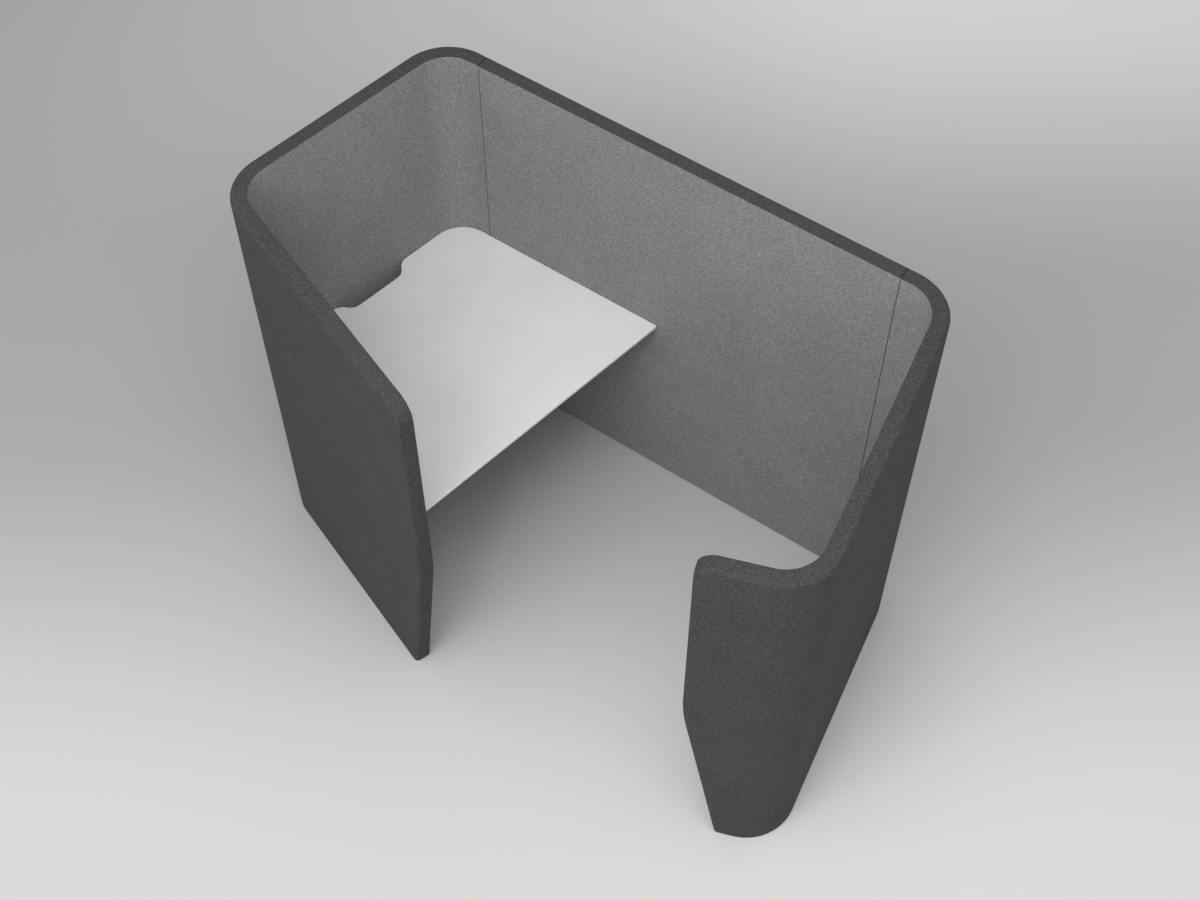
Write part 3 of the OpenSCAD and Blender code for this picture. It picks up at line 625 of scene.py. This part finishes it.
felt_dark = felt("felt_charcoal", (64, 64, 65), (87, 87, 89), 215, (1, 1, 0.8))
felt_light = felt("felt_mid_grey", (128, 128, 128), (163, 163, 163), 185, (1, 1, 1.1))
cover_profile = edge_profile(0, inner_roll=0.0012, crown=0.0006)
for part in ("left", "back", "right"):
    outside = padded_grid(part, cover_profile, 0.0)
    cover = shell(part + "_outer_felt", outside, padded_grid(part, cover_profile, felt_depth),
                  felt_dark)
    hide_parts(part + "_outer_cover")
    paint_seam_shade(cover)
    inside = panel_grid(part, wall_depth, foam_start, floor_gap, wall_height - foam_start)
    lining = shell(part + "_inner_felt", inside,
                   panel_grid(part, wall_depth - felt_depth, foam_start, floor_gap,
                              wall_height - foam_start, 0.0),
                   felt_light)
    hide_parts(part + "_inner_cover")
    paint_seam_shade(lining)


# Seam fixings: zinc-plated bolts, nuts and washers through the studs on both sides of a seam,
# and beech dowels that keep the two segments in line.
def zinc(name, levels, roughness):
    """Zinc plate: a fine crystalline bloom, and light rubbed streaks."""
    made, tree, shader, place = start_finish(name, levels, roughness)
    shader.inputs["Metallic"].default_value = 1.0
    bloom = grain(tree, place, 700, 3, 0.7)
    streak = grain(tree, place, 300, 2, 0.5, (1, 1, 8))
    body = weighed(tree, (bloom, 0.6), (streak, 0.4))
    darker = [0.82 * level for level in levels]
    coloured(tree, shader, body, darker, levels, 0.38, 0.62)
    raised(tree, shader, bloom, 0.0001, 0.3)
    return made


zinc_bright = zinc("zinc_bright", (186, 188, 191), 0.38)
finish_nodes(zinc_bright, "seam_bolts", "seam_nuts", "seam_washers")
beech = plywood("beech_round", (214, 178, 132), (176, 134, 90), (0.6, 6, 6))
finish_nodes(beech, "seam_dowels")


# Angles, brackets and beam: steel strip folded to a right angle and powder coated in grey.
# The angles are bolted to the wall through the felt, and carry the desk.
def powder_coat(name, levels):
    """Powder coat: a fine orange-peel relief, an even colour with a faint speckle."""
    made, tree, shader, place = start_finish(name, levels, 0.48)
    peel = grain(tree, place, 480, 2, 0.5)
    speck = grain(tree, place, 1600, 1, 0.5)
    body = weighed(tree, (peel, 0.5), (speck, 0.5))
    darker = [0.9 * level for level in levels]
    coloured(tree, shader, body, darker, levels)
    raised(tree, shader, peel, 0.0002, 0.4)
    return made


def wall_axes(wall):
    """Corner point, direction along and direction inward of one of the left side's walls."""
    start = np.array([0.0, 0.0])
    corner = np.array([-back_length / 2, 0.0])
    far_corner = corner + end_length["left"] * heading(180 + turn)
    origin, angle = {"back": (start, 180), "end": (corner, 180 + turn),
                     "front": (far_corner, 180 + 2 * turn)}[wall]
    return origin, heading(angle), heading(angle + 90)


def fold_section():
    """Section of a folded strip, as distances out along the level leg and down the upright
    leg: a quarter circle outside the fold and one inside, and softened leg ends."""
    soft = 0.0005
    quarter_turn = heading(np.linspace(180, 270, 9))
    outer = fold_radius + fold_radius * quarter_turn
    inner = fold_radius + (fold_radius - steel_thickness) * quarter_turn[::-1]
    leg, thick = steel_leg, steel_thickness
    level_end = [[leg - soft, 0], [leg, soft], [leg, thick - soft], [leg - soft, thick]]
    upright_end = [[thick, leg - soft], [thick - soft, leg], [soft, leg], [0, leg - soft]]
    return np.concatenate([outer, level_end, inner, upright_end])


def tube_faces(rows, around, start=0):
    """Faces of a tube of rings, counted from a starting point: the walls between each ring
    and the next, and one face over each end."""
    k = start + np.arange(rows * around).reshape(rows, around)
    after = np.roll(k, -1, 1)
    walls = np.stack([k[:-1], after[:-1], after[1:], k[1:]], -1).reshape(-1, 4)
    return walls.tolist() + [k[0, ::-1].tolist(), k[-1].tolist()]


def folded_strip(name, node, wall, ends, fold_at, outward):
    """The section carried straight along a wall between two ends, with a slightly smaller
    section at each end for the deburred rim. outward is 1 where the level leg points away
    from the wall, and -1 where it points back."""
    origin, along, inward = wall_axes(wall)
    section = fold_section()
    middle = np.array([0.012, 0.012])
    rim = 0.0004
    rows = []
    for run, shrink in ((ends[0], rim), (ends[0] + rim, 0), (ends[1] - rim, 0), (ends[1], rim)):
        towards = middle - section
        ring = section + shrink * np.sign(towards) * (np.abs(towards) > shrink)
        plan = origin + run * along + (fold_at + outward * ring[:, :1]) * inward - plan_middle
        rows.append(np.column_stack([plan, desk_height - desk_thickness - ring[:, 1]]))
    points = np.concatenate(rows)
    faces = tube_faces(len(rows), len(section))
    corner = points[faces[0][0]]
    normal = np.cross(points[faces[0][1]] - corner, points[faces[0][3]] - corner)
    inside_out = normal @ (corner - points.mean(0)) < 0
    piece = mesh_piece(name, points, faces, [steel_grey], 30, flipped=inside_out)
    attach(piece, "pod")
    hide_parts(node)


steel_grey = powder_coat("powder_coat_grey", (122, 124, 127))
steel_leg, steel_thickness, fold_radius = 0.040, 0.003, 0.0045
desk_height, desk_thickness, desk_depth = 0.730, 0.012, 0.745
desk_gap, seat_gap, bracket_gap, end_gap = 0.0008, 0.0002, 0.012, 0.020
angle_inset, bracket_width, beam_inset = 0.070, 0.090, 0.060
desk_edge, desk_front = wall_depth + desk_gap, wall_depth + desk_depth
notch_depth, notch_length, notch_radius = 0.042, 0.224, 0.042
notch_sweep = np.degrees(np.arccos(1 - notch_depth / notch_radius / 2))
notch_swing = notch_radius * np.sin(np.radians(notch_sweep))
sine, cosine = np.sin(np.radians(turn)), np.cos(np.radians(turn))
on_back = back_length / 2 + (desk_edge * cosine - desk_front) / sine
on_front = (desk_front - desk_edge * cosine) / sine
bracket_reach = notch_length / 2 + notch_swing + bracket_gap
end_middle = end_length["left"] / 2
angle_face = wall_depth + seat_gap
back_ends = (on_back + angle_inset, seam_at - end_gap)
front_ends = (tangent + end_gap, on_front - angle_inset)
near_ends = (end_middle - bracket_reach - bracket_width, end_middle - bracket_reach)
far_ends = (end_middle + bracket_reach, end_middle + bracket_reach + bracket_width)
beam_back = desk_front - beam_inset - steel_leg
beam_clear = angle_face + steel_leg + seat_gap
beam_ends = ((beam_clear - beam_back * cosine) / sine,
             end_length["left"] + (beam_back * cosine - beam_clear) / sine)
folded_strip("back_angle_folded", "desk_back_angle", "back", back_ends, angle_face, 1)
folded_strip("front_angle_folded", "desk_front_angle", "front", front_ends, angle_face, 1)
folded_strip("back_bracket_folded", "desk_bracket_back", "end", near_ends, angle_face, 1)
folded_strip("front_bracket_folded", "desk_bracket_front", "end", far_ends, angle_face, 1)
folded_strip("beam_folded", "desk_beam", "end", beam_ends, beam_back + steel_leg, -1)


# Bolts and screws of the angles: zinc-plated button heads with a hexagon socket, bolts into
# threaded inserts in the wall's middle rail, and screws up into the underside of the desk.
def turned_grid(radii, heights, centre, axis, across):
    """Points of a turned form: radii is rows by angles, heights go along the axis from a
    centre, and across is where the angles start."""
    angles = np.linspace(0, 2 * np.pi, radii.shape[1], endpoint=False)
    other = np.cross(axis, across)
    ring = np.cos(angles)[:, None] * across + np.sin(angles)[:, None] * other
    return centre + heights[:, None, None] * axis + radii[..., None] * ring


def turned_skin(grids):
    """Points and faces of turned forms, each closed by a face at both ends."""
    points, faces, start = [], [], 0
    for grid in grids:
        rows, around = grid.shape[:2]
        faces += tube_faces(rows, around, start)
        points.append(grid.reshape(-1, 3))
        start += rows * around
    return np.concatenate(points), faces


def button_head(radius, height, shank, length, socket):
    """Rows of a button-head fastener from its tip: a shank with a chamfered tip, the flat
    under its head, a domed head, and a hexagon socket whose radius varies as a hexagon's."""
    angles = np.linspace(0, 2 * np.pi, 36, endpoint=False)
    hexagon = socket / np.cos(np.mod(angles, np.pi / 3) - np.pi / 6)
    round_row = np.ones_like(angles)
    dome = np.radians([20, 40, 60, 75])
    tip, brim, bevel = 0.0006, 0.0004, 0.0002
    rows = [(0.6 * shank * round_row, 0.0), (shank * round_row, tip), (shank * round_row, length),
            (0.95 * radius * round_row, length), (radius * round_row, length + brim)]
    rows += [((radius - (radius - socket) * 0.6 * (1 - np.cos(a)) ** 0.9) * round_row,
              length + brim + (height - brim) * np.sin(a) ** 0.8) for a in dome]
    rows += [(1.25 * hexagon, length + height), (hexagon, length + height - bevel),
             (hexagon, length + 0.35 * height), (0.3 * hexagon, length + 0.25 * height)]
    return np.array([r for r, _ in rows]), np.array([z for _, z in rows])


def fastener_places(wall, ends, count, depth, height):
    """Middles of a row of fasteners along one wall, and its inward direction."""
    origin, along, inward = wall_axes(wall)
    runs = np.linspace(ends[0] + fastener_inset, ends[1] - fastener_inset, count)
    plan = origin + runs[:, None] * along + depth * inward - plan_middle
    return np.column_stack([plan, np.full(count, height)]), np.append(inward, 0.0)


def fastener_set(name, node, grids):
    """One mesh of all the fasteners of a kind."""
    points, faces = turned_skin(grids)
    piece = mesh_piece(name, points, faces, [zinc_bright], 40)
    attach(piece, "pod")
    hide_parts(node)


fastener_inset = 0.018
fastener_rows = (("end", near_ends, 2), ("end", far_ends, 2),
                 ("front", front_ends, 4), ("back", back_ends, 4))
up = np.array([0.0, 0.0, 1.0])
core_start, core_depth, insert_length, bolt_margin = 0.0148, 0.018, 0.012, 0.001
bolt_tip = core_start + core_depth - insert_length + bolt_margin
bolt_height = desk_height - desk_thickness - steel_leg / 2
radii, steps = button_head(radius=0.0055, height=0.0033, shank=0.003,
                           length=angle_face + steel_thickness - bolt_tip, socket=0.0020)
bolts = []
for wall, ends, count in fastener_rows:
    places, inward = fastener_places(wall, ends, count, bolt_tip, bolt_height)
    bolts += [turned_grid(radii, steps, place, inward, up) for place in places]
leg_middle = angle_face + (steel_thickness + steel_leg) / 2
screw_rows = [(wall, ends, count, leg_middle) for wall, ends, count in fastener_rows]
screw_rows.append(("end", beam_ends, 4, beam_back + (steel_leg - steel_thickness) / 2))
screw_share = 0.7
tip_height = desk_height - desk_thickness * (1 - screw_share)
radii, steps = button_head(radius=0.00475, height=0.0028, shank=0.0024,
                           length=steel_thickness + desk_thickness * screw_share, socket=0.0017)
screws = []
for wall, ends, count, depth in screw_rows:
    places, inward = fastener_places(wall, ends, count, depth, tip_height)
    screws += [turned_grid(radii, steps, place, -up, inward) for place in places]
fastener_set("angle_button_bolts", "angle_bolts", bolts)
fastener_set("desk_button_screws", "desk_screws", screws)
finish_nodes(zinc_bright, "angle_inserts")


# Desk top: one board of compact laminate, sawn to the wall's inner outline with a shallow
# cable notch in its left edge, its edges milled, lightly rounded and polished, and their
# colour painted lighter than the top as a highlight.
def bow(centre, radius, start, end, steps):
    """Points of an arc, from one angle to another."""
    return np.array(centre) + radius * heading(np.linspace(start, end, steps + 1))


def desk_outline():
    """Outline of the board seen from the left end wall: X along that wall, Y away from it.
    Two arcs follow the wall's corners, two small ones round the free corners, and four make
    the notch's ends swing in and out."""
    small = 0.004
    radius = corner_radius - desk_edge
    tip = desk_front - small
    back_tip = [(desk_edge + small - tip * cosine) / sine, tip]
    front_tip = [end_length["left"] + (tip * cosine - desk_edge - small) / sine, tip]
    sweep, swing = notch_sweep, notch_swing
    middle, half = end_middle, notch_length / 2
    outer, inner = desk_edge + notch_radius, desk_edge + notch_depth - notch_radius
    return np.concatenate([
        bow([tangent, corner_radius], radius, -90, -90 - turn, 32),
        bow(back_tip, small, -90 - turn, -270, 10),
        bow(front_tip, small, 90, turn - 90, 10),
        bow([end_length["left"] - tangent, corner_radius], radius, turn - 90, -90, 32),
        bow([middle + half + swing, outer], notch_radius, -90, -90 - sweep, 16),
        bow([middle + half - swing, inner], notch_radius, 90 - sweep, 90, 16),
        bow([middle - half + swing, inner], notch_radius, 90, 90 + sweep, 16),
        bow([middle - half - swing, outer], notch_radius, sweep - 90, -90, 16),
    ])


def board(name, outline, rings, faces_made, edge_made):
    """A flat board: its outline carried through rings of set-in and height, closed by a face
    above and one below. A ring's points move in along the outline's own normals."""
    keep = np.linalg.norm(outline - np.roll(outline, 1, 0), axis=1) > 1e-7
    outline = outline[keep]
    along = np.roll(outline, -1, 0) - np.roll(outline, 1, 0)
    along /= np.linalg.norm(along, axis=1)[:, None]
    inward = np.stack([-along[:, 1], along[:, 0]], -1)
    x, y = outline[:, 0], outline[:, 1]
    clockwise = np.sum(x * np.roll(y, -1) - np.roll(x, -1) * y) < 0
    if clockwise:
        inward = -inward
    origin, axis, away = wall_axes("end")
    points = []
    for inset, height in rings:
        flat = outline + inset * inward
        plan = origin + flat[:, :1] * axis + flat[:, 1:] * away - plan_middle
        points.append(np.column_stack([plan, np.full(len(plan), height)]))
    faces = tube_faces(len(rings), len(outline))
    kinds = [1] * (len(faces) - 2) + [0, 0]
    return mesh_piece(name, np.concatenate(points), faces, [faces_made, edge_made], 50, kinds,
                      clockwise)


def spread(tree, value, low, high, least=0.0, most=1.0, course="LINEAR"):
    """Value that runs from least to most while another runs from low to high."""
    span = tree.nodes.new("ShaderNodeMapRange")
    span.interpolation_type = course
    tree.links.new(value, span.inputs["Value"])
    span.inputs["From Min"].default_value = low
    span.inputs["From Max"].default_value = high
    span.inputs["To Min"].default_value = least
    span.inputs["To Max"].default_value = most
    return span.outputs["Result"]


def laminate(name, levels, roughness):
    """Compact laminate: a fine matt stipple, a barely seen cloud, and light rubbing marks."""
    made, tree, shader, place = start_finish(name, levels, roughness)
    stipple = grain(tree, place, 1500, 2, 0.6)
    cloud = grain(tree, place, 4, 2, 0.5)
    rub = grain(tree, place, 22, 4, 0.7, (1, 5, 1), 1.0)
    body = weighed(tree, (stipple, 0.4), (cloud, 0.4), (rub, 0.2))
    darker = [0.965 * level for level in levels]
    coloured(tree, shader, body, darker, levels, 0.4, 0.6)
    rubbed = spread(tree, rub, 0.3, 0.7, roughness - 0.06, roughness + 0.06)
    tree.links.new(rubbed, shader.inputs["Roughness"])
    raised(tree, shader, stipple, 0.00008, 0.5)
    return made


laminate_grey = laminate("laminate_pale_grey", (240, 240, 241), 0.5)
# painted highlight: the edges' colour is lighter than the top's, standing for the light they catch;
# their polish is the lower roughness
edge_painted_highlight = laminate("laminate_edge_painted_highlight", (250, 250, 250), 0.25)
soft_below, soft_above = 0.0010, 0.0022
quarter = np.linspace(0, np.pi / 2, 7)
desk_under = desk_height - desk_thickness
lower = [(soft_below * (1 - np.sin(a)), desk_under + soft_below * (1 - np.cos(a)))
         for a in quarter]
upper = [(soft_above * (1 - np.cos(a)), desk_height - soft_above * (1 - np.sin(a)))
         for a in quarter]
desk = board("desk_board", desk_outline(), lower + upper, laminate_grey, edge_painted_highlight)
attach(desk, "pod")
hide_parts("desk_top")


# Feet: a moulded nylon pad on a zinc-plated threaded stem, turned in a flanged insert under
# the wall, to level the pod. The pad's rim has fine grips.
def moulded(name, levels):
    """Moulded nylon: a fine spark texture, a little scuffed."""
    made, tree, shader, place = start_finish(name, levels, 0.55)
    spark = grain(tree, place, 1400, 2, 0.6)
    scuff = grain(tree, place, 120, 3, 0.7)
    body = weighed(tree, (spark, 0.5), (scuff, 0.5))
    lighter = [1.35 * level for level in levels]
    coloured(tree, shader, body, levels, lighter, 0.42, 0.7)
    raised(tree, shader, spark, 0.0001, 0.5)
    return made


def foot(name, node):
    """Pad and stem in one closed skin. The stem's radius falls by a wedge that climbs a pitch
    a turn, which is its thread, and the pad's rim has a row of shallow grips."""
    low, high = (np.array(corner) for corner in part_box(node))
    centre = np.array([(low[0] + high[0]) / 2, (low[1] + high[1]) / 2, 0.0])
    around = 48
    angles = np.linspace(0, 2 * np.pi, around, endpoint=False)
    pad_r, stem_r, pitch, thread = 0.0125, 0.004, 0.00125, 0.0005
    flange, tiny, grip, grips = 0.0015, 1e-5, 0.0003, 24
    pad_h = floor_gap - flange
    profile = [(tiny, 0.0), (0.006, 0.0), (pad_r - 0.0014, 0.0), (pad_r - 0.0006, 0.0003),
               (pad_r - 0.0001, 0.0010), (pad_r, 0.0016), (pad_r, pad_h - 0.0006),
               (pad_r - 0.0002, pad_h - 0.0002), (pad_r - 0.0006, pad_h), (0.0075, pad_h),
               (stem_r + 0.0006, pad_h)]
    radii = [np.full(around, r) for r, _ in profile]
    for row, (r, z) in enumerate(profile):
        if r > pad_r - grip and 0.0005 < z < pad_h - grip:
            radii[row] = radii[row] - grip * (0.5 - 0.5 * np.cos(grips * angles))
    heights = [z for _, z in profile]
    stem_z = np.arange(pad_h + 0.0004, high[2] - 0.0008, pitch / 6)
    for z in stem_z:
        phase = np.mod((z / pitch) - angles / (2 * np.pi), 1.0)
        wedge = np.abs(2 * phase - 1)
        radii.append(stem_r - thread * wedge)
        heights.append(z)
    radii += [np.full(around, stem_r - 0.0009), np.full(around, tiny)]
    heights += [high[2], high[2]]
    radii, heights = np.array(radii), np.array(heights)
    level = np.repeat(np.arange(len(heights) - 1), around)
    kinds = np.concatenate([level >= len(profile) - 1, [False, True]])
    east = np.array([1.0, 0.0, 0.0])
    points, faces = turned_skin([turned_grid(radii, heights, centre, up, east)])
    piece = mesh_piece(name, points, faces, [nylon_black, zinc_bright], 60, kinds)
    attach(piece, node)
    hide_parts(node)


nylon_black = moulded("nylon_black", (34, 34, 36))
finish_nodes(zinc_bright, "foot_inserts")
for node in sorted(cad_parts):
    if node.startswith("foot_") and node != "foot_inserts":
        foot(node + "_levelling", node)


# Studio: a plain pale floor whose tone falls off away from the camera, soft light from all
# round and from four broad lamps, and the camera where the photograph was taken.
camera_turn = 34.888


def studio_floor():
    """A flat square, level with the feet's undersides. Its tone is painted light: it falls off
    smoothly away from the camera, rises again behind the object, most of all on the right, and
    is a little deeper all along the left, standing for uneven light. The spans and their sides
    are as the camera sees them."""
    made, tree, shader, place = start_finish("studio_floor_paint", (205, 205, 205), 0.9)
    shader.inputs["Specular IOR Level"].default_value = 0.1
    turned_plan = remapped(tree, place, (0, 0, -np.radians(camera_turn)))
    split = tree.nodes.new("ShaderNodeSeparateXYZ")
    tree.links.new(turned_plan, split.inputs["Vector"])
    spans = [
        spread(tree, split.outputs[axis], low, high, course="SMOOTHSTEP")
        for axis, low, high in (("Y", -0.8, 0.7), ("X", -2.8, 1.2),
                                ("Y", 1.2, 2.9), ("X", -0.6, 1.3))
    ]
    # painted light: the floor's tone falls and rises with distance and side, in place of uneven
    # lighting
    near = tinted(tree, spans[0], (228, 228, 228), (191, 191, 191), 0.0, 1.0)
    far = tinted(tree, spans[1], (196, 196, 196), (242, 242, 242), 0.0, 1.0)
    side = tinted(tree, spans[3], (242, 242, 242), (255, 255, 255), 0.0, 1.0)
    tone = mixed(tree, near, far, "MIX", spans[2])
    tree.links.new(mixed(tree, tone, side), shader.inputs["Base Color"])
    size = 60.0
    corners = size * np.array([[-1, -1, 0], [1, -1, 0], [1, 1, 0], [-1, 1, 0]])
    floor = mesh_piece("studio_floor", corners, [[0, 1, 2, 3]], [made], 50)


def studio_light():
    """A pale surround, a broad lamp above the entrance, and three more in front of it. The
    camera sees the surround paler than the light it gives."""
    world = bpy.data.worlds.new("studio_surround")
    bpy.context.scene.world = world
    world.use_nodes = True
    tree = world.node_tree
    back = tree.nodes["Background"]
    back.inputs["Color"].default_value = (1, 1, 1, 1)
    path = tree.nodes.new("ShaderNodeLightPath")
    seen = spread(tree, path.outputs["Is Camera Ray"], 0.0, 1.0, 0.51, 0.58)
    tree.links.new(seen, back.inputs["Strength"])
    for name, place, power, width in (("entrance_lamp", (1.2, -1.4, 5.5), 84, 2.5),
                                      ("front_lamp", (0.2, -3.6, 5.0), 95, 2.5),
                                      ("front_left_lamp", (-6.7, -7.5, 4.6), 67, 4.5),
                                      ("front_right_lamp", (6.7, -7.5, 4.6), 96, 4.5)):
        lamp = bpy.data.lights.new(name, "AREA")
        lamp.energy = power
        lamp.shape = "SQUARE"
        lamp.size = width
        stand = shown(name, lamp)
        stand.location = place
        towards = Vector((-place[0], -place[1], 0.6 - place[2]))
        stand.rotation_euler = towards.to_track_quat("-Z", "Y").to_euler()


def studio_camera():
    """Camera from its solved place and three angles: it looks down along forward, and its
    picture is turned by the small roll."""
    pitch, roll, yaw = np.radians([55.0675, -0.081, camera_turn])
    level = np.array([-np.sin(yaw), np.cos(yaw), 0])
    forward = np.cos(pitch) * level - np.sin(pitch) * up
    right = np.array([np.cos(yaw), np.sin(yaw), 0])
    down = np.cross(forward, right)
    across = np.cos(roll) * right + np.sin(roll) * down
    falling = -np.sin(roll) * right + np.cos(roll) * down
    data = bpy.data.cameras.new("studio_camera")
    data.sensor_fit = "HORIZONTAL"
    data.sensor_width = 36.0
    data.lens = 55.07
    camera = shown("studio_camera", data)
    matrix = np.eye(4)
    matrix[:3, :3] = np.column_stack([across, -falling, -forward])
    matrix[:3, 3] = [1.8017, -2.4565, 5.0952]
    camera.matrix_world = Matrix(matrix.tolist())
    bpy.context.scene.camera = camera


studio_floor()
studio_light()
studio_camera()
bpy.context.scene.view_settings.view_transform = "Standard"
